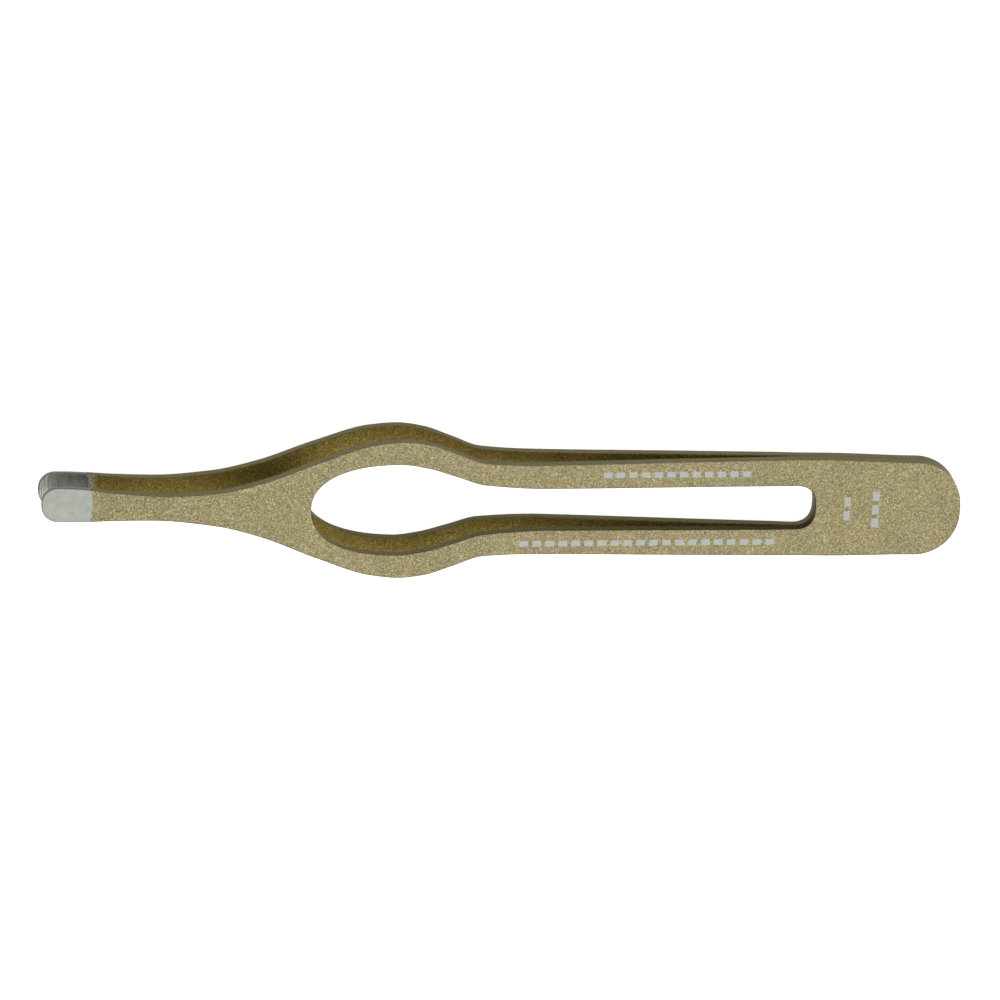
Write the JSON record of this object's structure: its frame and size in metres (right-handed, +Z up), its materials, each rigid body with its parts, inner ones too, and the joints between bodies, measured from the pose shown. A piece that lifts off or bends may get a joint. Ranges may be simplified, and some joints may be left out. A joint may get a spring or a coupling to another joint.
{
  "type": "spring tweezers",
  "caption": "Sprung hand tweezers: two bowed steel strips welded at the heel, with an oval finger opening in each arm and flat rounded tips. Gold paint, bare steel tips.",
  "frame": {"origin": "on the table, under the middle of the tweezers' bounding box", "axes": "+X along the tweezers from the tips to the heel, +Y across the strips, +Z up. The tweezers lie flat and their arms open along Z"},
  "size_m": [0.0948, 0.0146, 0.0081],
  "materials": {
    "gold_paint": "satin gold paint full of fine metal flake",
    "bare_steel": "bare stainless steel, finely ground"
  },
  "bodies": {
    "heel": {"upper_heel": "gold_paint", "lower_heel": "gold_paint", "rear_spot_weld": "bare_steel", "front_spot_weld": "bare_steel"},
    "upper_arm": {"upper_arm": "gold_paint"},
    "lower_arm": {"lower_arm": "gold_paint"}
  },
  "joints": [
    {"name": "upper_arm_flex", "type": "hinge", "parent": "heel", "child": "upper_arm", "pos_m": [0.01847, 0, 0.00371], "axis": [0, -1, 0], "range_deg": [0, 1.85], "stiffness_Nm_per_rad": 4.9},
    {"name": "lower_arm_flex", "type": "hinge", "parent": "heel", "child": "lower_arm", "pos_m": [0.01837, 0, 0.00099], "axis": [0, 1, 0], "range_deg": [0, 1.85], "stiffness_Nm_per_rad": 4.9}
  ],
  "couplings": [
    {"joint": "lower_arm_flex", "follows": "upper_arm_flex", "ratio": 1}
  ]
}
